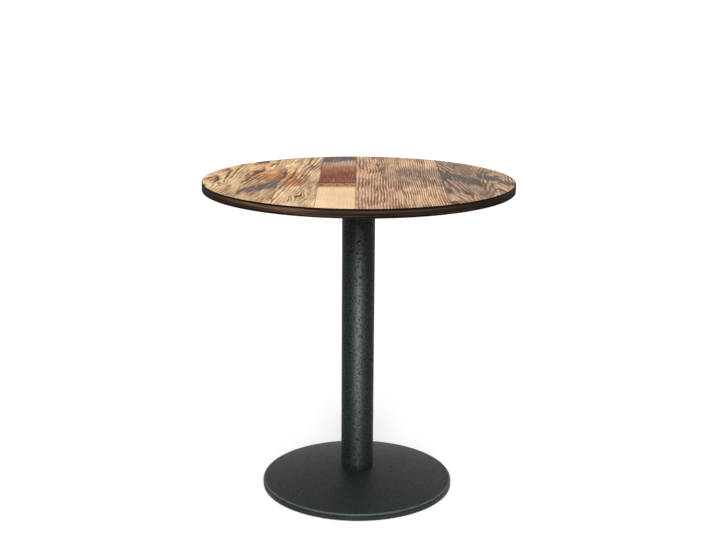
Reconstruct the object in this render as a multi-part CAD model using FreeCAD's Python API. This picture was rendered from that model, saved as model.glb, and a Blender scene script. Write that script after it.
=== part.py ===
import FreeCAD, Part
import math
import os

# Round bistro table: a wood-pattern laminated top on a black steel column and a low domed base.
# Millimetres, +Z up. The origin is on the floor, on the column's axis, and -Y is the front.
# Threads are plain cylinders.

# The table as a whole
TABLE_HEIGHT = 738.0
TOP_DIAMETER = 710.0
BASE_DIAMETER = 450.0
COLUMN_DIAMETER = 76.0

# The laminated top
TOP_THICKNESS = 20.0
LAMINATE_THICKNESS = 0.8
BAND_THICKNESS = 2.0
BAND_ROUNDING = 1.5
BAND_ROUNDING_MOST_SHARE = 0.9

# The threaded inserts in the core board
INSERT_DIAMETER = 9.0
INSERT_LENGTH = 12.0
INSERT_HOLE_SPARE = 1.0
INSERT_LEAD_IN = 0.8

# The screws and washers that hold the top on the spider
SCREW_DIAMETER = 6.0
SCREW_LENGTH = 20.0
SCREW_HEAD_DIAMETER = 10.5
SCREW_HEAD_HEIGHT = 3.3
SCREW_HEAD_ROUNDING = 1.6
SCREW_SOCKET_WIDTH = 4.0
SCREW_SOCKET_DEPTH = 2.0
SCREW_WASHER_DIAMETER = 12.0
SCREW_WASHER_THICKNESS = 1.6
SCREW_HOLE_CLEARANCE = 0.3
THREAD_CLEARANCE = 0.05

# The cast spider under the top
SPIDER_SPAN = 364.0
ARM_COUNT = 4
ARM_FIRST_ANGLE = 45.0
ARM_ROOT_WIDTH = 54.0
ARM_TIP_WIDTH = 32.0
ARM_WEB_THICKNESS = 6.0
ARM_RIB_THICKNESS = 5.0
ARM_TIP_HEIGHT = 10.0
ARM_SCREW_SPACING = 62.0
ARM_ROOT_FILLET = 4.0
HUB_MARGIN = 5.0
HUB_CHAMFER = 1.5
HUB_POCKET_ROOM = 4.0
HUB_POCKET_SINK = 2.0
HUB_TOP_SPARE = 3.7
HUB_WEB_THICKNESS = 8.0
SPIGOT_LENGTH = 16.0
SPIGOT_WALL = 7.0
SPIGOT_CLEARANCE = 0.25
SPIGOT_LEAD_IN = 1.5

# The column tube and the cup that centres its foot
COLUMN_WALL = 2.0
CUP_HEIGHT = 12.0
CUP_WALL = 2.5
CUP_ROUNDING = 2.0

# The tie rod with its washers and nuts
ROD_DIAMETER = 12.0
ROD_HOLE_CLEARANCE = 0.5
ROD_OVERHANG = 2.0
ROD_CHAMFER = 1.2
ROD_NUT_WIDTH = 18.0
ROD_NUT_HEIGHT = 10.8
ROD_NUT_CHAMFER = 1.0
UPPER_WASHER_DIAMETER = 24.0
UPPER_WASHER_THICKNESS = 2.5
LOWER_WASHER_DIAMETER = 37.0
LOWER_WASHER_THICKNESS = 3.0
SPRING_WASHER_DIAMETER = 21.0
SPRING_WASHER_THICKNESS = 3.0
SPRING_WASHER_SLIT = 2.0

# The pressed base cover: a flat seat, a dome struck as one arc, a rounded shoulder and a rim
COVER_THICKNESS = 2.5
CROWN_HEIGHT = 42.0
RIM_HEIGHT = 14.5
SHOULDER_RADIUS = 5.0
SEAT_MARGIN = 4.0
RIM_FLOOR_GAP = 3.0

# The ballast casting under the cover
BALLAST_THICKNESS = 12.0
BALLAST_COVER_GAP = 0.5
BALLAST_BOSS_MARGIN = 2.0
BALLAST_BOSS_FLARE = 20.0
BALLAST_CHAMFER = 1.5
NUT_POCKET_ROOM = 2.5
NUT_POCKET_SPARE = 1.0

# The four levelling feet
FOOT_COUNT = 4
FOOT_FIRST_ANGLE = 45.0
FOOT_INSET = 14.3
PAD_DIAMETER = 30.0
PAD_HEIGHT = 5.0
PAD_EDGE_HEIGHT = 2.5
PAD_CROWN_DIAMETER = 16.0
PAD_ROUNDING = 0.8
STUD_DIAMETER = 8.0
STUD_LENGTH = 12.0
STUD_CHAMFER = 0.8
STUD_CLEARANCE = 0.05
COLLAR_WIDTH = 13.0
COLLAR_HEIGHT = 3.0
PIVOT_DIAMETER = 5.0
PIVOT_LENGTH = 3.0
PIVOT_CLEARANCE = 0.05
PIVOT_END_GAP = 0.3

# How far a cutting shape runs past what it cuts, and how closely an edge must match its size
CUT_OVERRUN = 4.0
MATCH_TOLERANCE = 1e-6

# Levels and radii that follow from the sizes above
top_radius = TOP_DIAMETER / 2
top_underside = TABLE_HEIGHT - TOP_THICKNESS
core_radius = top_radius - BAND_THICKNESS
core_bottom = top_underside + LAMINATE_THICKNESS
core_top = TABLE_HEIGHT - LAMINATE_THICKNESS
tube_radius = COLUMN_DIAMETER / 2
tube_bore = tube_radius - COLUMN_WALL
hub_radius = tube_radius + HUB_MARGIN
rod_end_stack = UPPER_WASHER_THICKNESS + ROD_NUT_HEIGHT + ROD_OVERHANG
hub_pocket_floor = top_underside - HUB_TOP_SPARE - rod_end_stack
tube_top = hub_pocket_floor + HUB_POCKET_SINK
hub_height = top_underside - tube_top
rod_hole_radius = ROD_DIAMETER / 2 + ROD_HOLE_CLEARANCE
thread_radius = SCREW_DIAMETER / 2 + THREAD_CLEARANCE
screw_hole_radius = SCREW_DIAMETER / 2 + SCREW_HOLE_CLEARANCE
arm_tip_radius = ARM_TIP_WIDTH / 2
arm_tip_centre = SPIDER_SPAN / 2 - arm_tip_radius
screw_places = (arm_tip_centre - ARM_SCREW_SPACING, arm_tip_centre)
washer_top = top_underside - ARM_WEB_THICKNESS
head_top = washer_top - SCREW_WASHER_THICKNESS
screw_tip = head_top + SCREW_LENGTH
insert_top = core_bottom + INSERT_LENGTH
insert_hole_top = max(insert_top, screw_tip) + INSERT_HOLE_SPARE
upper_nut_bottom = hub_pocket_floor + UPPER_WASHER_THICKNESS
rod_top = upper_nut_bottom + ROD_NUT_HEIGHT + ROD_OVERHANG
ballast_bottom = PAD_HEIGHT + COLLAR_HEIGHT
ballast_top = ballast_bottom + BALLAST_THICKNESS
rod_bottom = ballast_bottom + NUT_POCKET_SPARE
lower_nut_bottom = rod_bottom + ROD_OVERHANG
spring_washer_bottom = lower_nut_bottom + ROD_NUT_HEIGHT
lower_washer_bottom = spring_washer_bottom + SPRING_WASHER_THICKNESS
nut_pocket_top = lower_washer_bottom + LOWER_WASHER_THICKNESS
nut_pocket_radius = LOWER_WASHER_DIAMETER / 2 + NUT_POCKET_ROOM
foot_angles = [FOOT_FIRST_ANGLE + 360 * i / FOOT_COUNT for i in range(FOOT_COUNT)]
arm_angles = [ARM_FIRST_ANGLE + 360 * i / ARM_COUNT for i in range(ARM_COUNT)]

# The cover's dome and shoulder are two arcs that touch: the shoulder's centre follows from the rim,
# and the dome's radius is the one that meets the crown and runs into the shoulder without a kink.
shoulder_centre_r = BASE_DIAMETER / 2 - SHOULDER_RADIUS
shoulder_centre_z = RIM_FLOOR_GAP + RIM_HEIGHT - SHOULDER_RADIUS
crown_z = RIM_FLOOR_GAP + CROWN_HEIGHT
crown_rise = crown_z - shoulder_centre_z
dome_radius = (shoulder_centre_r ** 2 + crown_rise ** 2 - SHOULDER_RADIUS ** 2) / (
    2 * (crown_rise - SHOULDER_RADIUS)
)
dome_centre_z = crown_z - dome_radius
dome_inner_radius = dome_radius - COVER_THICKNESS
seat_radius = tube_radius + SEAT_MARGIN
seat_top = dome_centre_z + math.sqrt(dome_radius ** 2 - seat_radius ** 2)
seat_underside = seat_top - COVER_THICKNESS

# The ballast reaches out to where the dome comes down on its upper edge
ballast_reach = dome_inner_radius - BALLAST_COVER_GAP
ballast_radius = math.sqrt(ballast_reach ** 2 - (ballast_top - dome_centre_z) ** 2)
foot_radius = ballast_radius - FOOT_INSET

Z_AXIS = FreeCAD.Vector(0, 0, 1)
ORIGIN = FreeCAD.Vector(0, 0, 0)


def disc(radius, bottom, top, x=0, y=0):
    """A round solid between two heights."""
    return Part.makeCylinder(radius, top - bottom, FreeCAD.Vector(x, y, bottom), Z_AXIS)


def ring(outer, inner, bottom, top, x=0, y=0):
    """A round solid with a hole through it."""
    hole = disc(inner, bottom - CUT_OVERRUN, top + CUT_OVERRUN, x, y)
    return disc(outer, bottom, top, x, y).cut(hole)


def hexagon(width, bottom, top):
    """A hexagonal prism, measured across its flats."""
    corner = width / math.sqrt(3)
    points = []
    for i in range(7):
        angle = math.radians(60 * i)
        points.append(FreeCAD.Vector(corner * math.cos(angle), corner * math.sin(angle), bottom))
    face = Part.Face(Part.makePolygon(points))
    return face.extrude(FreeCAD.Vector(0, 0, top - bottom))


def turned(edges):
    """A solid of revolution about the axis, from outline edges in the XZ plane."""
    face = Part.Face(Part.Wire(Part.__sortEdges__(edges)))
    return face.revolve(ORIGIN, Z_AXIS, 360)


def profile_line(start, end):
    """A straight outline edge between two (radius, height) points."""
    return Part.makeLine(FreeCAD.Vector(start[0], 0, start[1]), FreeCAD.Vector(end[0], 0, end[1]))


def profile_arc(centre, radius, first, last):
    """An outline arc in the XZ plane, its angles measured from the radial direction."""
    middle = (first + last) / 2
    points = []
    for angle in (first, middle, last):
        x = centre[0] + radius * math.cos(angle)
        z = centre[1] + radius * math.sin(angle)
        points.append(FreeCAD.Vector(x, 0, z))
    return Part.Arc(*points).toShape()


def turned_polygon(points):
    """A solid of revolution from straight runs between (radius, height) points."""
    closed = points + points[:1]
    return turned([profile_line(a, b) for a, b in zip(closed, closed[1:])])


def circle_edges(shape, radius, height):
    """The shape's round edges of one radius about the axis at one height."""
    found = []
    for edge in shape.Edges:
        if not isinstance(edge.Curve, Part.Circle):
            continue
        same_size = abs(edge.Curve.Radius - radius) < MATCH_TOLERANCE
        same_height = abs(edge.Curve.Center.z - height) < MATCH_TOLERANCE
        if same_size and same_height:
            found.append(edge)
    return found


def upright_edges(shape, distance):
    """The shape's upright straight edges that stand at one distance from the axis."""
    found = []
    for edge in shape.Edges:
        if not isinstance(edge.Curve, Part.Line):
            continue
        start, end = (vertex.Point for vertex in edge.Vertexes)
        leans = math.hypot(start.x - end.x, start.y - end.y) > MATCH_TOLERANCE
        off_place = abs(math.hypot(start.x, start.y) - distance) > MATCH_TOLERANCE
        if not leans and not off_place:
            found.append(edge)
    return found


def at_angle(shape, angle):
    """A copy turned about the table's axis."""
    copy = shape.copy()
    copy.rotate(ORIGIN, Z_AXIS, angle)
    return copy


def moved_out(shape, distance):
    """A copy shifted along the X axis."""
    copy = shape.copy()
    copy.translate(FreeCAD.Vector(distance, 0, 0))
    return copy


def save(node, solids):
    """Writes one node, which is one solid or a group of like solids."""
    shape = solids[0] if len(solids) == 1 else Part.makeCompound(solids)
    shape.exportStep("parts/" + node + ".step")


def at_each_screw(solid):
    """Copies of a solid at both screw places on every arm."""
    return [at_angle(moved_out(solid, r), angle) for angle in arm_angles for r in screw_places]


# The laminated top

def tabletop_core():
    """The board that carries everything else, with a blind hole for every insert."""
    board = disc(core_radius, core_bottom, core_top)
    hole = disc(INSERT_DIAMETER / 2, core_bottom - CUT_OVERRUN, insert_hole_top)
    return board.cut(Part.makeCompound(at_each_screw(hole)))


def top_laminate():
    """The decorative sheet on the board."""
    return disc(core_radius, core_top, TABLE_HEIGHT)


def backing_laminate():
    """The balancing sheet under the board, drilled where the inserts go in."""
    sheet = disc(core_radius, top_underside, core_bottom)
    hole = disc(INSERT_DIAMETER / 2, top_underside - CUT_OVERRUN, core_bottom + CUT_OVERRUN)
    return sheet.cut(Part.makeCompound(at_each_screw(hole)))


def edge_band():
    """The strip round the rim, with both outer corners rounded."""
    band = ring(top_radius, core_radius, top_underside, TABLE_HEIGHT)
    corners = circle_edges(band, top_radius, TABLE_HEIGHT)
    corners += circle_edges(band, top_radius, top_underside)
    rounding = min(BAND_ROUNDING, BAND_THICKNESS * BAND_ROUNDING_MOST_SHARE)
    return band.makeFillet(rounding, corners)


def insert_nut():
    """One threaded insert, flush with the board's underside, with a lead-in at its mouth."""
    body = disc(INSERT_DIAMETER / 2, core_bottom, insert_top)
    bore = disc(thread_radius, core_bottom - CUT_OVERRUN, insert_top + CUT_OVERRUN)
    mouth = Part.makeCone(
        thread_radius + INSERT_LEAD_IN,
        thread_radius,
        INSERT_LEAD_IN,
        FreeCAD.Vector(0, 0, core_bottom),
        Z_AXIS,
    )
    return body.cut(bore.fuse(mouth))


def top_screw():
    """One button-head screw with a hexagon socket, driven up from below."""
    head_bottom = head_top - SCREW_HEAD_HEIGHT
    head = disc(SCREW_HEAD_DIAMETER / 2, head_bottom, head_top)
    head = head.makeFillet(
        SCREW_HEAD_ROUNDING, circle_edges(head, SCREW_HEAD_DIAMETER / 2, head_bottom)
    )
    shank = disc(SCREW_DIAMETER / 2, head_top, screw_tip)
    socket = hexagon(
        SCREW_SOCKET_WIDTH, head_bottom - CUT_OVERRUN, head_bottom + SCREW_SOCKET_DEPTH
    )
    return head.fuse(shank).removeSplitter().cut(socket)


def top_screw_washer():
    """One flat washer between a screw head and the arm's web."""
    return ring(SCREW_WASHER_DIAMETER / 2, screw_hole_radius, head_top, washer_top)


# The spider

def tapered_outline(start_radius, end_radius, bottom):
    """A closed outline round a large circle at the axis and a smaller one at the arm's tip."""
    lean = math.acos((start_radius - end_radius) / arm_tip_centre)
    c, s = math.cos(lean), math.sin(lean)
    root_left = FreeCAD.Vector(start_radius * c, start_radius * s, bottom)
    root_right = FreeCAD.Vector(start_radius * c, -start_radius * s, bottom)
    tip_left = FreeCAD.Vector(arm_tip_centre + end_radius * c, end_radius * s, bottom)
    tip_right = FreeCAD.Vector(arm_tip_centre + end_radius * c, -end_radius * s, bottom)
    back = FreeCAD.Vector(-start_radius, 0, bottom)
    front = FreeCAD.Vector(arm_tip_centre + end_radius, 0, bottom)
    return Part.Wire([
        Part.Arc(root_right, back, root_left).toShape().Edges[0],
        Part.makeLine(root_left, tip_left),
        Part.Arc(tip_left, front, tip_right).toShape().Edges[0],
        Part.makeLine(tip_right, root_right),
    ])


def spider_arm():
    """One arm: a web against the top, edged by ribs that get shallower towards the tip."""
    arm = Part.Face(tapered_outline(ARM_ROOT_WIDTH / 2, arm_tip_radius, tube_top))
    arm = arm.extrude(FreeCAD.Vector(0, 0, hub_height))
    pocket = Part.Face(tapered_outline(
        ARM_ROOT_WIDTH / 2 - ARM_RIB_THICKNESS,
        arm_tip_radius - ARM_RIB_THICKNESS,
        tube_top - CUT_OVERRUN,
    ))
    pocket = pocket.extrude(FreeCAD.Vector(0, 0, hub_height - ARM_WEB_THICKNESS + CUT_OVERRUN))
    tip_level = top_underside - ARM_TIP_HEIGHT
    below = [
        (hub_radius, tube_top),
        (arm_tip_centre, tip_level),
        (SPIDER_SPAN / 2 + CUT_OVERRUN, tip_level),
        (SPIDER_SPAN / 2 + CUT_OVERRUN, tube_top - CUT_OVERRUN),
        (hub_radius, tube_top - CUT_OVERRUN),
    ]
    points = [FreeCAD.Vector(x, -ARM_ROOT_WIDTH, z) for x, z in below + below[:1]]
    wedge = Part.Face(Part.makePolygon(points)).extrude(FreeCAD.Vector(0, 2 * ARM_ROOT_WIDTH, 0))
    return arm.cut([pocket, wedge])


def spider():
    """The cast cross: hub, four arms, a spigot in the tube's mouth and a pocket for the nut."""
    hub = disc(hub_radius, tube_top, top_underside)
    hub = hub.makeChamfer(HUB_CHAMFER, circle_edges(hub, hub_radius, tube_top))
    spigot_radius = tube_bore - SPIGOT_CLEARANCE
    spigot_bottom = tube_top - SPIGOT_LENGTH
    spigot = turned_polygon([
        (0, tube_top),
        (0, spigot_bottom),
        (spigot_radius - SPIGOT_LEAD_IN, spigot_bottom),
        (spigot_radius, spigot_bottom + SPIGOT_LEAD_IN),
        (spigot_radius, tube_top),
    ])
    arm = spider_arm()
    cross = hub.fuse([at_angle(arm, angle) for angle in arm_angles]).removeSplitter()
    cross = cross.makeFillet(ARM_ROOT_FILLET, upright_edges(cross, hub_radius))
    hollow = disc(
        spigot_radius - SPIGOT_WALL,
        spigot_bottom - CUT_OVERRUN,
        hub_pocket_floor - HUB_WEB_THICKNESS,
    )
    pocket_radius = UPPER_WASHER_DIAMETER / 2 + HUB_POCKET_ROOM
    nut_pocket = disc(pocket_radius, hub_pocket_floor, top_underside + CUT_OVERRUN)
    rod_hole = disc(rod_hole_radius, spigot_bottom - CUT_OVERRUN, top_underside)
    screw_hole = disc(screw_hole_radius, washer_top - CUT_OVERRUN, top_underside + CUT_OVERRUN)
    cuts = [hollow, nut_pocket, rod_hole] + at_each_screw(screw_hole)
    return cross.fuse(spigot).cut(cuts).removeSplitter()


# The column and the cup at its foot

def column_tube():
    """The round tube, from the base's seat to the spider's hub."""
    return ring(tube_radius, tube_bore, seat_top, tube_top)


def locating_cup():
    """A pressed cup that sits on the seat inside the tube and keeps it centred."""
    radius = tube_bore - SPIGOT_CLEARANCE
    cup = disc(radius, seat_top, seat_top + CUP_HEIGHT)
    cup = cup.makeFillet(CUP_ROUNDING, circle_edges(cup, radius, seat_top))
    inside = disc(radius - CUP_WALL, seat_top + CUP_WALL, seat_top + CUP_HEIGHT + CUT_OVERRUN)
    rod_hole = disc(rod_hole_radius, seat_top - CUT_OVERRUN, seat_top + CUP_HEIGHT)
    return cup.cut([inside, rod_hole])


# The tie rod and what is threaded on it

def tie_rod():
    """The rod that clamps the spider, the tube and the base together."""
    rod = disc(ROD_DIAMETER / 2, rod_bottom, rod_top)
    ends = circle_edges(rod, ROD_DIAMETER / 2, rod_bottom)
    ends += circle_edges(rod, ROD_DIAMETER / 2, rod_top)
    return rod.makeChamfer(ROD_CHAMFER, ends)


def rod_nut(bottom):
    """A hexagon nut with its corners turned off at both faces."""
    top = bottom + ROD_NUT_HEIGHT
    corner_radius = ROD_NUT_WIDTH / math.sqrt(3)
    blank = disc(corner_radius, bottom, top)
    blank = blank.makeChamfer(
        ROD_NUT_CHAMFER,
        circle_edges(blank, corner_radius, bottom) + circle_edges(blank, corner_radius, top),
    )
    bore = disc(ROD_DIAMETER / 2 + THREAD_CLEARANCE, bottom - CUT_OVERRUN, top + CUT_OVERRUN)
    return blank.common(hexagon(ROD_NUT_WIDTH, bottom, top)).cut(bore)


def spring_washer():
    """A spring washer, a ring cut through at one place."""
    washer = ring(
        SPRING_WASHER_DIAMETER / 2, rod_hole_radius, spring_washer_bottom, lower_washer_bottom
    )
    slit = Part.makeBox(
        SPRING_WASHER_DIAMETER,
        SPRING_WASHER_SLIT,
        SPRING_WASHER_THICKNESS,
        FreeCAD.Vector(0, -SPRING_WASHER_SLIT / 2, spring_washer_bottom),
    )
    return washer.cut(slit)


# The base

def base_cover():
    """The pressed cover: flat seat, dome, rounded shoulder and upright rim, one wall throughout."""
    outer_rim = BASE_DIAMETER / 2
    inner_rim = outer_rim - COVER_THICKNESS
    shoulder = (shoulder_centre_r, shoulder_centre_z)
    dome = (0, dome_centre_z)
    lean = math.atan2(shoulder_centre_z - dome_centre_z, shoulder_centre_r)
    outer_start = math.acos(seat_radius / dome_radius)
    inner_start = math.asin((seat_underside - dome_centre_z) / dome_inner_radius)
    inner_seat_radius = dome_inner_radius * math.cos(inner_start)
    return turned([
        profile_line((rod_hole_radius, seat_top), (seat_radius, seat_top)),
        profile_arc(dome, dome_radius, outer_start, lean),
        profile_arc(shoulder, SHOULDER_RADIUS, lean, 0),
        profile_line((outer_rim, shoulder_centre_z), (outer_rim, RIM_FLOOR_GAP)),
        profile_line((outer_rim, RIM_FLOOR_GAP), (inner_rim, RIM_FLOOR_GAP)),
        profile_line((inner_rim, RIM_FLOOR_GAP), (inner_rim, shoulder_centre_z)),
        profile_arc(shoulder, SHOULDER_RADIUS - COVER_THICKNESS, 0, lean),
        profile_arc(dome, dome_inner_radius, lean, inner_start),
        profile_line((inner_seat_radius, seat_underside), (rod_hole_radius, seat_underside)),
        profile_line((rod_hole_radius, seat_underside), (rod_hole_radius, seat_top)),
    ])


def ballast_disc():
    """The casting that weighs the base down, with a boss up to the seat and tapped foot holes."""
    boss = tube_radius + BALLAST_BOSS_MARGIN
    casting = turned_polygon([
        (rod_hole_radius, nut_pocket_top),
        (rod_hole_radius, seat_underside),
        (boss, seat_underside),
        (boss + BALLAST_BOSS_FLARE, ballast_top),
        (ballast_radius, ballast_top),
        (ballast_radius, ballast_bottom + BALLAST_CHAMFER),
        (ballast_radius - BALLAST_CHAMFER, ballast_bottom),
        (nut_pocket_radius, ballast_bottom),
        (nut_pocket_radius, nut_pocket_top),
    ])
    foot_hole = disc(
        STUD_DIAMETER / 2 + STUD_CLEARANCE,
        ballast_bottom - CUT_OVERRUN,
        ballast_top + CUT_OVERRUN,
        foot_radius,
    )
    return casting.cut([at_angle(foot_hole, angle) for angle in foot_angles])


# The levelling feet

def leveller_pad():
    """One sole pad: a shallow moulded button with a blind socket for the stud's pivot."""
    crown = PAD_CROWN_DIAMETER / 2
    pad = turned_polygon([
        (0, 0),
        (PAD_DIAMETER / 2, 0),
        (PAD_DIAMETER / 2, PAD_EDGE_HEIGHT),
        (crown, PAD_HEIGHT),
        (0, PAD_HEIGHT),
    ])
    pad = pad.makeFillet(PAD_ROUNDING, circle_edges(pad, PAD_DIAMETER / 2, PAD_EDGE_HEIGHT))
    socket_floor = PAD_HEIGHT - PIVOT_LENGTH - PIVOT_END_GAP
    socket = disc(PIVOT_DIAMETER / 2 + PIVOT_CLEARANCE, socket_floor, PAD_HEIGHT + CUT_OVERRUN)
    return moved_out(pad.cut(socket), foot_radius)


def leveller_stud():
    """One stud: a pivot in the pad, a hexagon collar to turn it by and a shank in the ballast."""
    pivot = disc(PIVOT_DIAMETER / 2, PAD_HEIGHT - PIVOT_LENGTH, PAD_HEIGHT)
    collar = hexagon(COLLAR_WIDTH, PAD_HEIGHT, ballast_bottom)
    shank_top = ballast_bottom + STUD_LENGTH
    shank = disc(STUD_DIAMETER / 2, ballast_bottom, shank_top)
    shank = shank.makeChamfer(STUD_CHAMFER, circle_edges(shank, STUD_DIAMETER / 2, shank_top))
    return moved_out(collar.fuse([pivot, shank]), foot_radius)


os.makedirs("parts", exist_ok=True)

save("tabletop_core", [tabletop_core()])
save("top_laminate", [top_laminate()])
save("backing_laminate", [backing_laminate()])
save("edge_band", [edge_band()])
save("insert_nuts", at_each_screw(insert_nut()))
save("top_screws", at_each_screw(top_screw()))
save("top_screw_washers", at_each_screw(top_screw_washer()))
save("spider", [spider()])
save("column_tube", [column_tube()])
save("locating_cup", [locating_cup()])
save("tie_rod", [tie_rod()])
save("upper_rod_nut", [rod_nut(upper_nut_bottom)])
save("upper_rod_washer", [
    ring(UPPER_WASHER_DIAMETER / 2, rod_hole_radius, hub_pocket_floor, upper_nut_bottom)
])
save("lower_rod_nut", [rod_nut(lower_nut_bottom)])
save("spring_washer", [spring_washer()])
save("lower_rod_washer", [
    ring(LOWER_WASHER_DIAMETER / 2, rod_hole_radius, lower_washer_bottom, nut_pocket_top)
])
save("base_cover", [base_cover()])
save("ballast_disc", [ballast_disc()])
for number, angle in enumerate(foot_angles, start=1):
    save("leveller_pad_" + str(number), [at_angle(leveller_pad(), angle)])
    save("leveller_stud_" + str(number), [at_angle(leveller_stud(), angle)])
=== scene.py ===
import math

import bpy
from mathutils import Matrix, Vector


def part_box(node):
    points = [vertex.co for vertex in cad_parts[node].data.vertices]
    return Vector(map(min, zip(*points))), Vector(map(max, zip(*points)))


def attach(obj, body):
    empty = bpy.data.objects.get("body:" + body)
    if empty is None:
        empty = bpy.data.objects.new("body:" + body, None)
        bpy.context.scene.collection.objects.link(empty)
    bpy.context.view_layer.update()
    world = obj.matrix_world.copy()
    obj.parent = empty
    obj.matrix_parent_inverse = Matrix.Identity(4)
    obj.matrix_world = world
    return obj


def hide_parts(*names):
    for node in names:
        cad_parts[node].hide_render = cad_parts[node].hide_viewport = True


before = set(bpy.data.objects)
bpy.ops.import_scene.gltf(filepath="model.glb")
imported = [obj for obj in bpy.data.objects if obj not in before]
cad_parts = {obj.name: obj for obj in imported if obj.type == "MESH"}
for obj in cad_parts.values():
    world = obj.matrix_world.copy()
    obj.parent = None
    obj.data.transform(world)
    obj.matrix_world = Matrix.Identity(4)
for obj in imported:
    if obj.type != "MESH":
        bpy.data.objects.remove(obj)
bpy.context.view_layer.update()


# Core board
# A round slab of raw fibreboard, sawn and bored for the inserts. It carries the sheets, the edging and the
# screws, and shows only inside its bored holes.

MM = 0.001


class Wire:
    """One socket of a tree of shader nodes. Sums, products and comparisons of wires add their Math nodes."""

    def __init__(self, tree, socket=None):
        self.tree = tree
        self.socket = socket

    def node(self, kind, settings=None, inputs=None, output=0):
        """Adds a node: its settings first, then the numbers, colours or wires of its inputs."""
        made = self.tree.nodes.new(kind)
        for name, value in (settings or {}).items():
            if name == "stops":
                self.set_stops(made.color_ramp, value)
            elif name == "steps":
                made.color_ramp.interpolation = value
            else:
                setattr(made, name, value)
        for name, value in (inputs or {}).items():
            if isinstance(value, Wire):
                self.tree.links.new(value.socket, made.inputs[name])
            else:
                made.inputs[name].default_value = value
        return Wire(self.tree, made.outputs[output] if made.outputs else None)

    @staticmethod
    def set_stops(ramp, stops):
        """Gives a ramp its stops, each a place from 0 to 1 and a colour."""
        while len(ramp.elements) < len(stops):
            ramp.elements.new(1.0)
        for element, (place, colour) in zip(ramp.elements, stops):
            element.position = place
            element.color = colour

    def beside(self, output):
        """Another output of the node that this wire comes from."""
        return Wire(self.tree, self.socket.node.outputs[output])

    def maths(self, operation, first, second=0.0):
        return self.node("ShaderNodeMath", {"operation": operation}, {0: first, 1: second})

    def __add__(self, other):
        return self.maths("ADD", self, other)

    __radd__ = __add__

    def __sub__(self, other):
        return self.maths("SUBTRACT", self, other)

    def __rsub__(self, other):
        return self.maths("SUBTRACT", other, self)

    def __mul__(self, other):
        return self.maths("MULTIPLY", self, other)

    __rmul__ = __mul__

    def __truediv__(self, other):
        return self.maths("DIVIDE", self, other)

    def __pow__(self, other):
        return self.maths("POWER", self, other)

    def __abs__(self):
        return self.maths("ABSOLUTE", self)

    def __gt__(self, other):
        return self.maths("GREATER_THAN", self, other)

    def least(self, other):
        return self.maths("MINIMUM", self, other)

    def part(self):
        """What is left of the number after its whole part."""
        return self.maths("FRACT", self)

    def ease(self, low, high, start=0.0, end=1.0):
        """Goes smoothly from start, where this wire is low, to end, where it is high."""
        inputs = {0: self, 1: low, 2: high, 3: start, 4: end}
        return self.node("ShaderNodeMapRange", {"interpolation_type": "SMOOTHSTEP"}, inputs)

    def blend(self, low, high):
        """The colour low where this wire is 0, and high where it is 1."""
        return self.node("ShaderNodeMix", {"data_type": "RGBA"}, {0: self, 6: low, 7: high}, output=2)

    def dim(self, colour):
        """The colour, times this wire."""
        return self.node("ShaderNodeVectorMath", {"operation": "SCALE"}, {0: colour, "Scale": self})

    def noise(self, x, y, z, detail=2.0, roughness=0.5):
        """Cloudy noise from 0 to 1 at three coordinates."""
        point = self.node("ShaderNodeCombineXYZ", {}, {"X": x, "Y": y, "Z": z})
        inputs = {"Vector": point, "Scale": 1.0, "Detail": detail, "Roughness": roughness}
        return self.node("ShaderNodeTexNoise", {}, inputs)


def tint(red, green, blue):
    """A colour given in sRGB values from 0 to 255, as the shaders want it."""
    shares = [value / 255 for value in (red, green, blue)]
    return tuple(s / 12.92 if s <= 0.04045 else ((s + 0.055) / 1.055) ** 2.4 for s in shares) + (1.0,)


def new_finish(name):
    """An empty material, and wires of its x, y and z in metres."""
    material = bpy.data.materials.new(name)
    material.use_nodes = True
    material.node_tree.nodes.clear()
    place = Wire(material.node_tree).node("ShaderNodeTexCoord", output="Object")
    x = place.node("ShaderNodeSeparateXYZ", {}, {0: place})
    return material, x, x.beside("Y"), x.beside("Z")


def close_finish(material, colour, roughness, relief, depth, gloss=0.5, metal=0.0, rounding=0.0):
    """Ends a material in its shader. relief is a height from 0 to 1, and depth is what 1 measures."""
    wire = Wire(material.node_tree)
    heights = {"Height": relief, "Strength": 1.0, "Distance": depth}
    if rounding:
        heights["Normal"] = wire.node("ShaderNodeBevel", {"samples": 6}, {"Radius": rounding})
    bump = wire.node("ShaderNodeBump", {}, heights)
    inputs = {"Base Color": colour, "Roughness": roughness, "Normal": bump}
    inputs.update({"Specular IOR Level": gloss, "Metallic": metal})
    shader = wire.node("ShaderNodeBsdfPrincipled", {}, inputs)
    wire.node("ShaderNodeOutputMaterial", {}, {"Surface": shader})
    return material


def dress(material, *names):
    """Gives pieces that come ready made with the frame their finish."""
    for name in names:
        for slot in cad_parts[name].material_slots:
            slot.material = material


def raw_fibreboard():
    material, x, y, z = new_finish("raw_fibreboard")
    fibres = x.noise(x * 900, y * 900, z * 2600, detail=4.0, roughness=0.6)
    layers = x.noise(x * 30, y * 30, z * 420)
    colour = fibres.blend(tint(122, 92, 62), tint(196, 164, 124))
    colour = layers.ease(0.35, 0.7).blend(colour, tint(158, 124, 88))
    roughness = fibres.ease(0.2, 0.8, 0.95, 0.8)
    return close_finish(material, colour, roughness, relief=fibres, depth=0.12 * MM, gloss=0.2)


dress(raw_fibreboard(), "tabletop_core")


# Top laminate
# A thin decorative sheet, printed with worn softwood boards that run from front to back, embossed with their
# grain and pressed on the core board. Old slate-grey paint is left on some boards of the print.

EASED_EDGE = 0.15 * MM
EMBOSSING = 0.12 * MM
SHARP_ANGLE = 35

sheet_low, sheet_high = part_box("top_laminate")
sheet_radius = sheet_high.x


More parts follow.
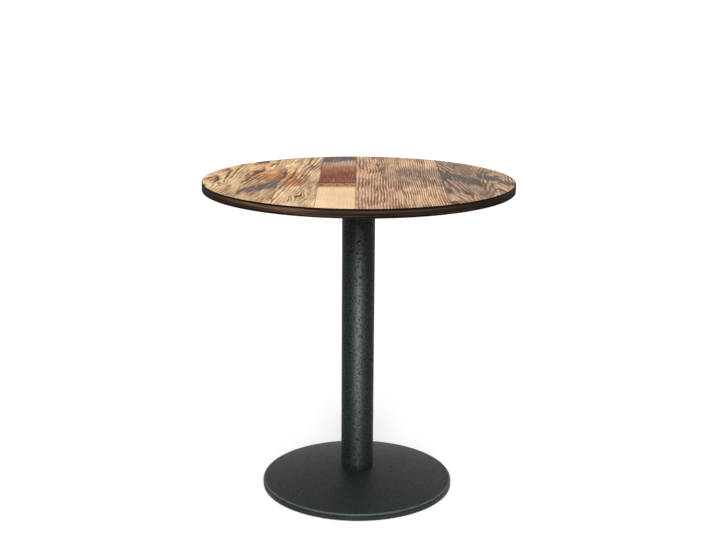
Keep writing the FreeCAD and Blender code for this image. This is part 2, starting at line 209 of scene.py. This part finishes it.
def turned(name, outline, material, sides=256):
    """A closed body turned about the column's axis from (radius, height) points in counterclockwise order."""
    points, rings, faces = [], [], []
    for radius, height in outline:
        around = sides if radius else 1
        rings.append([len(points) + i % around for i in range(sides)])
        angles = [2 * math.pi * i / sides for i in range(around)]
        points += [(radius * math.cos(a), radius * math.sin(a), height) for a in angles]
    for low, high in zip(rings, rings[1:] + rings[:1]):
        for i in range(sides):
            after = (i + 1) % sides
            corners = dict.fromkeys((low[i], low[after], high[after], high[i]))
            if len(corners) > 2:
                faces.append(tuple(corners))
    mesh = bpy.data.meshes.new(name)
    mesh.from_pydata(points, [], faces)
    mesh.materials.append(material)
    mesh.shade_smooth()
    mesh.set_sharp_from_angle(angle=math.radians(SHARP_ANGLE))
    piece = bpy.data.objects.new(name, mesh)
    bpy.context.scene.collection.objects.link(piece)
    return piece


def stand_in(piece, node):
    """Puts a finer piece in the place of the frame's own one."""
    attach(piece, "table")
    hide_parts(node)


def worn_boards():
    material, x, y, _ = new_finish("worn_boards")
    seams = [place * MM for place in (-262, -180, -90, -7, 96, 190, 275)]
    edges = [-sheet_radius] + seams + [sheet_radius]
    board = sum(x > seam for seam in seams)
    seam_gap = abs(x - seams[0])
    for seam in seams[1:]:
        seam_gap = seam_gap.least(abs(x - seam))

    def per_board(values):
        """A number that each board has for itself, from left to right."""
        low, span = min(values), max(values) - min(values)
        shares = [(value - low) / span for value in values]
        stops = [(i / len(values), (share, share, share, 1.0)) for i, share in enumerate(shares)]
        pick = (board + 0.5) / len(values)
        return pick.node("ShaderNodeValToRGB", {"stops": stops, "steps": "CONSTANT"}, {0: pick}) * span + low

    def per_length(colours):
        """A colour that each length of board has for itself: the front lengths first, then those behind."""
        stops = [(i / len(colours), colour) for i, colour in enumerate(colours)]
        pick = (board + behind * (len(seams) + 1) + 0.5) / len(colours)
        return pick.node("ShaderNodeValToRGB", {"stops": stops, "steps": "CONSTANT"}, {0: pick})

    middle = per_board([(a + b) / 2 for a, b in zip(edges, edges[1:])])
    slant = per_board((0.16, 0.2, 0.14, 0.0, 0.02, 0.0, -0.07, 0.05))
    figure = per_board((0.5, 0.25, 0.25, 0.0, 0.12, 0.0, 0.3, 0.85))
    pitch = per_board((6.8, 6.2, 6.6, 7.0, 5.6, 5.3, 6.0, 8.4)) * MM
    contrast = per_board((1.1, 1.18, 1.1, 0.13, 0.96, 0.94, 1.2, 1.2))
    early_wood = per_board((0.42, 0.42, 0.45, 0.2, 0.2, 0.2, 0.3, 0.3))
    joint = per_board((400, 230, 400, -46, 400, 400, 196, -190)) * MM
    light_board = per_board((0, 0, 0, 1, 0, 0, 0, 0))

    # Some boards are two lengths, butted at the joint. Each length has a number of its own, which the noises
    # take as their third coordinate, so that its grain differs from its neighbours'.
    behind = y > joint
    length = board + behind * 11.0
    contrast = contrast + light_board * behind * 0.6
    faded = x.noise(x * 30, y * 6.5, length * 6.0, detail=3.0)
    contrast = contrast * faded.ease(0.4, 0.58, 0.66, 1.12)

    # Places on the print in millimetres: knots with their size, nail holes, and weathered, warm-toned and
    # pale spots with their width, depth and strength. Then come the boards with a worn slanted stripe of
    # paint: the board's left and right edge, how far back the stripe crosses it, its slant and half width.
    knots = ((-236, 110, 15), (-128, -214, 12), (233, -176, 14), (46, 214, 11), (318, 60, 13), (-312, -60, 9))
    nail_holes = (
        (-56, -262),
        (-22, -60),
        (-168, 212),
        (-230, 244),
        (-72, -34),
        (232, 212),
        (305, -176),
        (150, 286),
    )
    nail_hole_radius = 2.2
    weather_spots = (
        (130, 20, 90, 150, 1.4),
        (150, 150, 130, 130, 0.8),
        (235, -110, 100, 170, 1.1),
        (250, 90, 120, 120, 1.3),
        (-230, -60, 90, 90, 0.4),
    )
    warm_spots = ((-206, 16, 42, 60, 0.7), (-150, -42, 34, 80, 0.7), (-160, 60, 40, 60, 0.4))
    pale_spots = ((-130, -310, 80, 80, 0.45), (-215, 160, 110, 120, 0.35))
    striped_boards = (
        (-262, -180, -116, 1.5, 46),
        (190, 275, 22, -1.3, 56),
        (275, 353, 2, -1.9, 36),
        (-90, -7, 318, 0.5, 58),
    )

    def near_spot(spot_x, spot_y, wide, deep):
        """0 in the middle of a spot, 1 on its rim, and more outside it."""
        dx, dy = (x - spot_x * MM) / (wide * MM), (y - spot_y * MM) / (deep * MM)
        return dx * dx + dy * dy

    for spot_x, spot_y, wide, deep, strength in pale_spots:
        contrast = contrast - near_spot(spot_x, spot_y, wide, deep).ease(1.0, 0.0) * strength

    # The grain sways a little, and bends round the knots, which are longer along the board than across it.
    grain_sway = 30 * MM
    knot_squeeze = 0.6
    drift = x.noise(x * 7, y * 3, length * 3.1) - 0.5
    across = x - middle - slant * y + drift * grain_sway
    knot_heart = 0.0
    for knot_x, knot_y, knot_size in knots:
        size = knot_size * MM
        dx, dy = x - knot_x * MM, (y - knot_y * MM) * knot_squeeze
        reach = (dx * dx + dy * dy + drift * drift * (size * size)) ** 0.5
        across = across - dx * reach.ease(size * 2.6, 0.0)
        knot_heart = reach.ease(size * 0.62, size * 0.34) + knot_heart

    # Growth rings: straight lines in some boards, pointed arches in others.
    arch_width = 45 * MM
    arch_slope = 0.12
    arches = across * across / arch_width + y * arch_slope
    field = across * (1 - figure) + arches * figure
    ring_noise = x.noise(x * 90, y * 11, length * 5.0, detail=4.0, roughness=0.6)
    ring = (field / pitch + ring_noise * (0.25 + figure * 1.1) + length * 0.37).part()
    late_wood = ring.ease(early_wood, 0.82) * ring.ease(0.88, 1.0, 1.0, 0.0)

    fibres = x.noise(across * 950, y * 24, length, detail=3.0, roughness=0.6)
    streaks = x.noise(across * 200, y * 15, length * 5.0, detail=4.0, roughness=0.68)
    broad = x.noise(across * 48, y * 4, length * 8.0, detail=3.0)
    clouds = x.noise(x * 11, y * 7, length * 9.0, detail=3.0)
    film = x.noise(x * 15, y * 8, 40.0, detail=5.0, roughness=0.65)
    saw_marks = x.noise(x * 12, y * 260, length * 2.0)

    front_tones = (
        tint(255, 220, 170),
        tint(255, 214, 160),
        tint(255, 220, 170),
        tint(235, 202, 158),
        tint(236, 194, 156),
        tint(248, 207, 164),
        tint(232, 194, 158),
        tint(244, 206, 162),
    )
    rear_tones = (
        tint(246, 214, 170),
        tint(244, 206, 158),
        tint(252, 214, 166),
        tint(200, 170, 146),
        tint(224, 190, 158),
        tint(219, 190, 162),
        tint(209, 184, 161),
        tint(236, 202, 162),
    )
    tone = per_length(front_tones + rear_tones)
    grain = streaks.ease(0.43, 0.57) * 0.65 + broad.ease(0.36, 0.64) * 0.2 + fibres.ease(0.3, 0.7) * 0.15
    worn = streaks.ease(0.38, 0.58) * 0.7 + 0.3
    lines = ((1 - grain) * 0.72 + late_wood * worn * (0.85 - figure * 0.25)).least(1.0)
    warmth = clouds.ease(0.48, 0.7) * (board.ease(3.0, 2.0) * 0.45 + 0.12)
    for spot_x, spot_y, wide, deep, strength in warm_spots:
        warmth = warmth + near_spot(spot_x, spot_y, wide, deep).ease(1.0, 0.2) * strength
    tone = warmth.least(0.85).blend(tone, tint(222, 140, 72))
    colour = (lines * (contrast + warmth * 0.3)).blend(tone, tint(98, 58, 38))

    # The length behind the light board turns red-brown towards the joint. Just in front of the joint, the
    # light board is stained dark.
    stained = y.ease(250 * MM, 20 * MM)
    stain = stained.blend(tint(162, 112, 68), tint(106, 43, 8))
    red_spots = clouds.ease(0.5, 0.62) * y.ease(150 * MM, 60 * MM)
    stain = (red_spots * 0.8).blend(stain, tint(148, 60, 10))
    stain = (0.75 + streaks.ease(0.4, 0.6) * 0.5).dim(stain)
    stain_share = light_board * behind * stained.ease(0.0, 0.25) * (0.66 + broad * 0.5)
    colour = stain_share.least(0.96).blend(colour, stain)
    mottled = x.noise(x * 90, y * 40, 6.0, detail=4.0, roughness=0.6).ease(0.44, 0.6)
    dirty = light_board * (1 - behind) * y.ease(-122 * MM, -82 * MM)
    colour = (dirty * 0.92).blend(colour, mottled.blend(tint(166, 114, 74), tint(92, 50, 24)))
    glue_line = light_board * abs(y - joint).ease(9 * MM, 4 * MM)
    colour = (glue_line * 0.85).blend(colour, tint(70, 26, 6))

    grey = film.ease(0.42, 0.66)
    for spot_x, spot_y, wide, deep, strength in weather_spots:
        grey = grey + near_spot(spot_x, spot_y, wide, deep).ease(1.0, 0.0) * strength
    weathered = lines.blend(tint(152, 131, 117), tint(70, 53, 45))
    colour = (grey * (board.ease(2.0, 4.0) * 0.2 + 0.3) * contrast).least(0.7).blend(colour, weathered)
    colour = (saw_marks.ease(0.56, 0.72) * 0.16).blend(colour, tint(96, 72, 56))

    # Drying cracks follow the grain. They come where the board is dry.
    crack_line = abs(x.noise(across * 62, y * 2.6, length * 2.0) - 0.5)
    dry = x.noise(x * 14, y * 6, length * 7.0).ease(0.48, 0.6) * contrast
    cracks = crack_line.ease(0.03, 0.006) * dry
    colour = (cracks * 0.8).blend(colour, tint(74, 48, 34))

    knot_ring_pitch = 3 * MM
    knot_rings = (ring_noise * 0.3 + field / knot_ring_pitch).part().ease(0.2, 0.9)
    colour = knot_heart.blend(colour, knot_rings.blend(tint(96, 60, 38), tint(62, 38, 26)))

    # Old paint, worn off along the grain. It stops short of the seams, and is ragged at its front and back.
    seam_margin = 1.5 * MM
    soft_edge = 10 * MM
    raggedness = 110 * MM
    ragged = y + (x.noise(across * 150, y * 5, 3.0, detail=4.0, roughness=0.6) - 0.5) * raggedness
    painted = 0.0
    for left, right, back, stripe_slant, half in striped_boards:
        on_board = x.ease(left * MM, left * MM + seam_margin) * x.ease(right * MM, right * MM - seam_margin)
        off = abs(ragged - x * stripe_slant + (stripe_slant * (left + right) / 2 - back) * MM)
        painted = on_board * off.ease(half * MM, half * MM - soft_edge) + painted
    wear = fibres * 0.3 + streaks * 0.5 + film * 0.4
    paint = painted * wear.ease(0.74, 0.62)
    colour = (paint * 0.9).blend(colour, film.blend(tint(50, 49, 54), tint(98, 92, 93)))

    # Nail holes are dark, and so are the seams and joints, most of all where dust fills them.
    holes = 0.0
    for hole_x, hole_y in nail_holes:
        holes = near_spot(hole_x, hole_y, nail_hole_radius, nail_hole_radius).ease(1.0, 0.4) + holes
    dust = x.noise(x * 40, y * 22, 8.0, detail=3.0).ease(0.3, 0.7)
    grooves = seam_gap.least(abs(y - joint)).ease(1.5 * MM, 0.3 * MM)
    dark = (grooves * (0.25 + dust * 0.45) + holes * 0.8).least(1.0)
    colour = dark.blend(colour, tint(60, 38, 28))

    relief = 0.45 + fibres * 0.3 + late_wood * contrast * 0.25 - cracks * 0.5 - dark * 0.5
    roughness = 0.64 + fibres * 0.14 + paint * 0.1
    return close_finish(material, colour, roughness, relief, depth=EMBOSSING, gloss=0.1)


sheet = turned(
    "top_laminate_sheet",
    [
        (0, sheet_low.z),
        (sheet_radius, sheet_low.z),
        (sheet_radius, sheet_high.z - EASED_EDGE),
        (sheet_radius - EASED_EDGE, sheet_high.z),
        (0, sheet_high.z),
    ],
    worn_boards(),
)
stand_in(sheet, "top_laminate")


# Backing laminate
# A plain brown sheet pressed on the core's underside, so that the board stays flat. It is bored where the
# inserts sit.


def plain_backing():
    material, x, y, z = new_finish("brown_backing")
    pressed = x.noise(x * 700, y * 700, z * 700, detail=3.0)
    clouds = x.noise(x * 6, y * 6, 0.0, detail=3.0)
    colour = clouds.ease(0.3, 0.7).blend(tint(72, 52, 40), tint(88, 66, 50))
    colour = (0.85 + pressed * 0.3).dim(colour)
    roughness = 0.6 + pressed * 0.15
    return close_finish(material, colour, roughness, relief=pressed, depth=0.06 * MM, gloss=0.3)


dress(plain_backing(), "backing_laminate")


# Edge band
# A 2 mm strip of wood-pattern edging, glued round the boards and rounded over with a router at both outer
# edges. Its print runs level round the rim, dark brown with lighter streaks. Its face is also partly painted
# light:
# lighter high up as a painted highlight, and darker below it as painted shade.

BAND_ROUNDING = 1.5 * MM

band_low, band_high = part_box("edge_band")
band_radius = band_high.x


def arc(centre_r, centre_z, radius, start, end, steps):
    """Points of an arc in the (radius, height) plane, from one angle in degrees to another."""
    angles = [math.radians(start + (end - start) * i / steps) for i in range(steps + 1)]
    return [(centre_r + radius * math.cos(a), centre_z + radius * math.sin(a)) for a in angles]


def dark_wood_edging():
    material, x, y, z = new_finish("dark_wood_edging")
    up = (z - band_low.z) / (band_high.z - band_low.z)
    sway = x.noise(x * 6, y * 6, z * 60) - 0.5
    height = up + sway * 0.16
    swaying_z = z + sway * (2 * MM)
    broad = x.noise(x * 5, y * 5, swaying_z * 480, detail=2.0)
    fine = x.noise(x * 16, y * 16, swaying_z * 2300, detail=3.0, roughness=0.6)
    # The ramp holds the print's level stripes, and partly painted light as well: its lighter stop high on the
    # face is a painted highlight, and the darkening below it is painted shade.
    print_and_painted_light = height.node(
        "ShaderNodeValToRGB",
        {
            "stops": [
                (0.0, tint(66, 50, 40)),
                (0.07, tint(34, 22, 15)),
                (0.16, tint(18, 10, 6)),
                (0.3, tint(32, 21, 15)),
                (0.5, tint(36, 24, 17)),
                (0.7, tint(64, 46, 35)),
                (0.84, tint(24, 15, 10)),
                (0.93, tint(10, 5, 3)),
            ]
        },
        {0: height},
    )
    colour = (broad.ease(0.5, 0.72) * 0.6).blend(print_and_painted_light, tint(104, 78, 60))

    # The band is painted darker at the two sides of the top, as painted shade where the front light falls
    # off, and paler in a band at the left of its front, as a painted highlight.
    sides = abs(x + 60 * MM).ease(220 * MM, 320 * MM)
    painted_lit_streak = abs(x + 180 * MM).ease(120 * MM, 30 * MM) * height.ease(0.42, 0.6) * height.ease(0.84, 0.7)
    colour = (painted_lit_streak * fine.ease(0.42, 0.62) * 0.6).blend(colour, tint(150, 112, 90))
    # Painted shade: the colour is dimmed towards the two sides, where the front light falls off.
    colour = ((0.3 + fine.ease(0.3, 0.7)) * (1 - sides * 0.5)).dim(colour)

    # The rounded edge at the band's top is nearly black.
    rounded_top = up.ease(0.82, 0.88)
    colour = rounded_top.blend(colour, tint(9, 5, 3))
    roughness = 0.7 + fine * 0.2
    return close_finish(material, colour, roughness, relief=fine, depth=0.05 * MM, gloss=0.06)


band = turned(
    "edge_band_strip",
    [(sheet_radius, band_low.z)]
    + arc(band_radius - BAND_ROUNDING, band_low.z + BAND_ROUNDING, BAND_ROUNDING, -90, 0, steps=6)
    + arc(band_radius - BAND_ROUNDING, band_high.z - BAND_ROUNDING, BAND_ROUNDING, 0, 90, steps=6)
    + [(sheet_radius + EASED_EDGE, band_high.z), (sheet_radius, band_high.z - EASED_EDGE)],
    dark_wood_edging(),
    sides=360,
)
stand_in(band, "edge_band")


# Insert nuts, screws and washers
# Turned steel inserts are pressed in the core from below. Hexagon screws on plain washers hold the spider to
# them. All are plated with bright zinc.


def bright_zinc():
    material, x, y, z = new_finish("bright_zinc")
    grain = x.noise(x * 1400, y * 1400, z * 1400, detail=3.0)
    clouds = x.noise(x * 160, y * 160, z * 160, detail=3.0)
    colour = clouds.ease(0.3, 0.7).blend(tint(196, 198, 202), tint(214, 214, 210))
    colour = (0.88 + grain * 0.16).dim(colour)
    roughness = 0.26 + clouds * 0.2
    return close_finish(material, colour, roughness, grain, depth=0.02 * MM, metal=1.0, rounding=0.25 * MM)


zinc = bright_zinc()
dress(zinc, "insert_nuts", "top_screws", "top_screw_washers")


# Spider
# A sand-cast iron cross with a hollow hub, dipped in black paint. Its spigot stands in the column, and its
# four ribbed arms lie flat under the top.


def dipped_casting():
    material, x, y, z = new_finish("dipped_casting")
    sand = x.noise(x * 620, y * 620, z * 620, detail=4.0, roughness=0.62)
    lumps = x.noise(x * 90, y * 90, z * 90, detail=2.0)
    colour = lumps.ease(0.3, 0.7).blend(tint(34, 34, 35), tint(46, 46, 46))
    colour = (0.8 + sand * 0.4).dim(colour)
    relief = sand * 0.6 + lumps * 0.4
    roughness = 0.5 + sand * 0.25
    return close_finish(material, colour, roughness, relief, depth=0.3 * MM, gloss=0.35, rounding=1.2 * MM)


casting = dipped_casting()
dress(casting, "spider")


# Column tube
# A straight length of welded steel tube, cut square and deburred, with a black powder coat of fine texture.
# It stands on the base cover round the locating cup, and takes the spider's spigot at its top.

TUBE_WALL = 2 * MM
DEBURRED = 0.4 * MM

tube_low, tube_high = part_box("column_tube")
tube_radius = tube_high.x
tube_bore = tube_radius - TUBE_WALL


def fine_powder_coat(name, grit, gloss, painted_highlight_marks=None):
    """The black coat, its grit from 0 to 1. Its last argument works out from x, y and z where the coat is
    painted paler, as a painted highlight.
    """
    material, x, y, z = new_finish(name)
    grains = x.noise(x * 900, y * 900, z * 900, detail=3.0, roughness=0.6)
    pebbles = x.noise(x * 280, y * 280, z * 280, detail=2.0)
    flow = x.noise(x * 14, y * 14, z * 14, detail=2.0)
    colour = flow.ease(0.3, 0.7).blend(tint(15, 22, 19), tint(20, 28, 25))
    grey = grains * 0.4 + pebbles.ease(0.38, 0.62) * 1.6
    colour = (1.0 - grit + grey * grit).dim(colour)
    if painted_highlight_marks:
        # Painted highlight: the coat is painted paler where the marks say.
        colour = painted_highlight_marks(x, y, z).least(1.0).blend(colour, tint(80, 84, 86))
    relief = grains * 0.2 + pebbles * 0.8
    pits = pebbles.ease(0.46, 0.32)
    roughness = 0.44 + grit * 0.04 + grains * 0.1 + pits * 0.34 * grit
    return close_finish(material, colour, roughness, relief, depth=0.34 * MM, gloss=gloss)


column = turned(
    "column_tube_body",
    [
        (tube_bore, tube_low.z),
        (tube_radius - DEBURRED, tube_low.z),
        (tube_radius, tube_low.z + DEBURRED),
        (tube_radius, tube_high.z - DEBURRED),
        (tube_radius - DEBURRED, tube_high.z),
        (tube_bore, tube_high.z),
    ],
    fine_powder_coat("column_powder_coat", grit=1.0, gloss=0.12),
    sides=128,
)
stand_in(column, "column_tube")


# Tie rod, locating cup and their nuts and washers
# One long rod runs down the column and pulls spider, tube and base together. The cup centres the tube. All
# are zinc plated, but the spring washer under the ballast is oil-blackened spring steel.


def blackened_steel():
    material, x, y, z = new_finish("blackened_steel")
    grain = x.noise(x * 900, y * 900, z * 900, detail=3.0)
    colour = grain.ease(0.3, 0.7).blend(tint(70, 70, 74), tint(98, 98, 102))
    roughness = 0.34 + grain * 0.2
    return close_finish(material, colour, roughness, grain, depth=0.02 * MM, metal=1.0, rounding=0.2 * MM)


dress(zinc, "tie_rod", "upper_rod_nut", "upper_rod_washer", "lower_rod_nut", "lower_rod_washer")
dress(zinc, "locating_cup")
dress(blackened_steel(), "spring_washer")


# Base cover
# A steel disc spun into a low dome with a rolled shoulder and a short upright rim, in the same powder coat.
# The column stands on the flat seat at its middle. A pale line along the rolled shoulder is a painted
# highlight.

SEAT_RADIUS = 42 * MM
CROWN_HEIGHT = 42 * MM
RIM_HEIGHT = 14.5 * MM
SHOULDER = 5 * MM
COVER_WALL = 2.5 * MM
ROD_HOLE = 6.5 * MM

cover_low, cover_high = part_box("base_cover")
rim_radius = cover_high.x


def dome_side(wall):
    """The cover's outline from its seat out to its rim, moved inwards by a wall's thickness."""
    shoulder_r, shoulder_z = rim_radius - SHOULDER, cover_low.z + RIM_HEIGHT - SHOULDER
    rise = CROWN_HEIGHT - RIM_HEIGHT + SHOULDER
    dome_radius = (shoulder_r ** 2 + rise ** 2 - SHOULDER ** 2) / (2 * (rise - SHOULDER))
    centre_z = cover_low.z + CROWN_HEIGHT - dome_radius
    seat_angle = math.degrees(math.acos(SEAT_RADIUS / dome_radius))
    turn_angle = math.degrees(math.atan2(shoulder_z - centre_z, shoulder_r))
    dome = arc(0, centre_z, dome_radius - wall, seat_angle, turn_angle, steps=24)
    roll = arc(shoulder_r, shoulder_z, SHOULDER - wall, turn_angle, 0, steps=8)
    return [(ROD_HOLE, cover_high.z - wall)] + dome + roll + [(rim_radius - wall, cover_low.z)]


def painted_shoulder_highlight(x, y, z):
    """A painted highlight, palest along the rolled shoulder; the upright rim is painted a little paler
    towards its foot.
    """
    out = (x * x + y * y) ** 0.5
    shoulder = out.ease(rim_radius - 5.5 * MM, rim_radius - 4 * MM) * z.ease(15.2 * MM, 16.2 * MM)
    patches = x.noise(x * 60, y * 60, z * 60, detail=3.0)
    return shoulder * (0.2 + patches * 0.9) + z.ease(13 * MM, 10 * MM) * patches * 0.3


cover_coat = fine_powder_coat("base_powder_coat", grit=0.5, gloss=0.16, painted_highlight_marks=painted_shoulder_highlight)
cover = turned("base_cover_shell", dome_side(COVER_WALL) + dome_side(0)[::-1], cover_coat)
stand_in(cover, "base_cover")


# Ballast disc
# A heavy cast-iron disc inside the cover, dipped in black paint. Its boss carries the column's pull, and the
# levelling feet screw into its rim.

dress(casting, "ballast_disc")


# Levelling feet
# Four zinc-plated studs with a hexagon collar screw into the ballast. Each turns in a moulded black sole with
# a pebbled surface.


def moulded_black():
    material, x, y, z = new_finish("moulded_black")
    pebbles = x.noise(x * 1200, y * 1200, z * 1200, detail=2.0)
    colour = pebbles.ease(0.3, 0.7).blend(tint(38, 38, 39), tint(50, 50, 51))
    roughness = 0.45 + pebbles * 0.2
    return close_finish(material, colour, roughness, pebbles, depth=0.05 * MM, gloss=0.4, rounding=0.5 * MM)


dress(moulded_black(), "leveller_pad_1", "leveller_pad_2", "leveller_pad_3", "leveller_pad_4")
dress(zinc, "leveller_stud_1", "leveller_stud_2", "leveller_stud_3", "leveller_stud_4")


# Studio
# A plain pale floor, a soft light from above, a soft key light from the front, two lamps that only add gloss,
# and a camera where the photograph's was.


def seen_directly(wire):
    """1 for what the camera sees straight, in a reflection or through glass, and 0 for what only lights."""
    path = wire.node("ShaderNodeLightPath")
    rays = path + path.beside("Is Glossy Ray") + path.beside("Is Transmission Ray")
    return rays.least(1.0)


def pale_floor():
    """Paper that takes the table's shadow, and glows towards the camera so that it stays nearly white."""
    material, x, y, _ = new_finish("pale_floor")
    mottle = x.noise(x * 3, y * 3, 0.0, detail=2.0)
    seen = seen_directly(x)
    white = mottle.blend(tint(250, 250, 250), tint(253, 253, 253))
    colour = seen.blend(tint(170, 170, 170), white)
    paper = x.node("ShaderNodeBsdfDiffuse", {}, {"Color": colour, "Roughness": 0.5})
    glow = x.node("ShaderNodeEmission", {}, {"Color": white, "Strength": 1.0})
    surface = x.node("ShaderNodeMixShader", {}, {0: seen * 0.6, 1: paper, 2: glow})
    x.node("ShaderNodeOutputMaterial", {}, {"Surface": surface})
    return material


FLOOR_RADIUS = 80.0
FLOOR_SIDES = 64
floor_angles = [2 * math.pi * i / FLOOR_SIDES for i in range(FLOOR_SIDES)]
floor_corners = [(FLOOR_RADIUS * math.cos(a), FLOOR_RADIUS * math.sin(a), 0) for a in floor_angles]
floor_mesh = bpy.data.meshes.new("floor")
floor_mesh.from_pydata(floor_corners, [], [tuple(range(FLOOR_SIDES))])
floor_mesh.materials.append(pale_floor())
floor = bpy.data.objects.new("floor", floor_mesh)
bpy.context.scene.collection.objects.link(floor)

FILL = 0.4
world = bpy.data.worlds.new("studio")
world.use_nodes = True
world.node_tree.nodes.clear()
sky = Wire(world.node_tree)
strength = FILL + seen_directly(sky) * (1 - FILL)
backdrop = sky.node("ShaderNodeBackground", {}, {"Color": (1, 1, 1, 1), "Strength": strength})
sky.node("ShaderNodeOutputWorld", {}, {"Surface": backdrop})
bpy.context.scene.world = world


def soft_sun(name, level, elevation, width):
    """A soft distant lamp at the front that gives a white surface facing it this level. Angles in degrees."""
    lamp = bpy.data.lights.new(name, "SUN")
    lamp.energy = level * math.pi
    lamp.angle = math.radians(width)
    placed = bpy.data.objects.new(name, lamp)
    placed.matrix_world = Matrix.Rotation(math.radians(90 - elevation), 4, "X")
    placed.visible_camera = False
    bpy.context.scene.collection.objects.link(placed)
    return placed


key = soft_sun("key_light", level=1.0, elevation=20, width=28)
key.visible_glossy = False
soft_sun("top_light", level=0.4, elevation=70, width=50)
rim_shine = soft_sun("rim_shine", level=2.4, elevation=62, width=70)
rim_shine.visible_diffuse = False

# A low lamp behind an upright slit draws the soft line of light up the column. The slit keeps the light off
# the column's two edges and off the base. Its edges are soft, and it lets less light through near its foot.
LOW_LAMP_LEVEL = 5.2
LOW_LAMP_COLOUR = (0.93, 1.0, 1.02)
LOW_LAMP_RADIUS = 8 * MM
LOW_LAMP_DISTANCE = 1.6
LOW_LAMP_SIDE = 0.07
LOW_LAMP_HEIGHT = 0.05
SLIT_HALF_WIDTH = 29 * MM
SLIT_SIDE_FADE = 15 * MM
SLIT_FOOT = 46 * MM
SLIT_FOOT_FADE = 20 * MM
SLIT_FOOT_SHARE = 0.42
SLIT_FULL_HEIGHT = 300 * MM
SLIT_TOP = 700 * MM
SLIT_TOP_FADE = 260 * MM

low_lamp = bpy.data.lights.new("low_lamp", "POINT")
low_lamp.energy = LOW_LAMP_LEVEL * (2 * math.pi * LOW_LAMP_DISTANCE) ** 2
low_lamp.color = LOW_LAMP_COLOUR
low_lamp.shadow_soft_size = LOW_LAMP_RADIUS
low_lamp.use_nodes = True
low_lamp.node_tree.nodes.clear()

# Each ray's direction is told from the lamp, which faces the column. Scaled to the distance between them, it
# gives how far beside the column's axis the ray passes, and how high.
ray = Wire(low_lamp.node_tree).node("ShaderNodeTexCoord", output="Normal")
sideways = ray.node("ShaderNodeSeparateXYZ", {}, {0: ray})
forward = abs(sideways.beside("Z")) / LOW_LAMP_DISTANCE
across = abs(sideways / forward + LOW_LAMP_SIDE)
height = sideways.beside("Y") / forward + LOW_LAMP_HEIGHT
foot = height.ease(SLIT_FOOT, SLIT_FOOT + SLIT_FOOT_FADE)
foot = foot * height.ease(SLIT_FOOT, SLIT_FULL_HEIGHT, SLIT_FOOT_SHARE, 1.0)
slit = across.ease(SLIT_HALF_WIDTH, SLIT_HALF_WIDTH - SLIT_SIDE_FADE) * foot
slit = slit * height.ease(SLIT_TOP, SLIT_TOP - SLIT_TOP_FADE)
beam = slit.node("ShaderNodeEmission", {}, {"Strength": slit})
slit.node("ShaderNodeOutputLight", {}, {"Surface": beam})

low_shine = bpy.data.objects.new("low_lamp", low_lamp)
facing_column = Matrix.Rotation(math.pi / 2, 4, "X")
low_lamp_place = Matrix.Translation((LOW_LAMP_SIDE, -LOW_LAMP_DISTANCE, LOW_LAMP_HEIGHT))
low_shine.matrix_world = low_lamp_place @ facing_column
low_shine.visible_camera = False
low_shine.visible_diffuse = False
bpy.context.scene.collection.objects.link(low_shine)

# The camera fitted to the photograph: angles in radians, places in metres.
IMAGE_WIDTH = 716
FOCAL_LENGTH_IN_PIXELS = 1220.41
CAMERA_PLACE = (-0.0007, -2.7435, 1.1989)
CAMERA_PITCH = 0.2405
CAMERA_ROLL = 0.0067

camera_data = bpy.data.cameras.new("camera")
camera_data.sensor_width = 36.0
camera_data.lens = FOCAL_LENGTH_IN_PIXELS * camera_data.sensor_width / IMAGE_WIDTH
camera_data.clip_end = 300.0
camera = bpy.data.objects.new("camera", camera_data)
lean = Matrix.Rotation(math.pi / 2 - CAMERA_PITCH, 4, "X") @ Matrix.Rotation(CAMERA_ROLL, 4, "Z")
camera.matrix_world = Matrix.Translation(CAMERA_PLACE) @ lean
bpy.context.scene.collection.objects.link(camera)
bpy.context.scene.camera = camera
bpy.context.scene.view_settings.view_transform = "Standard"
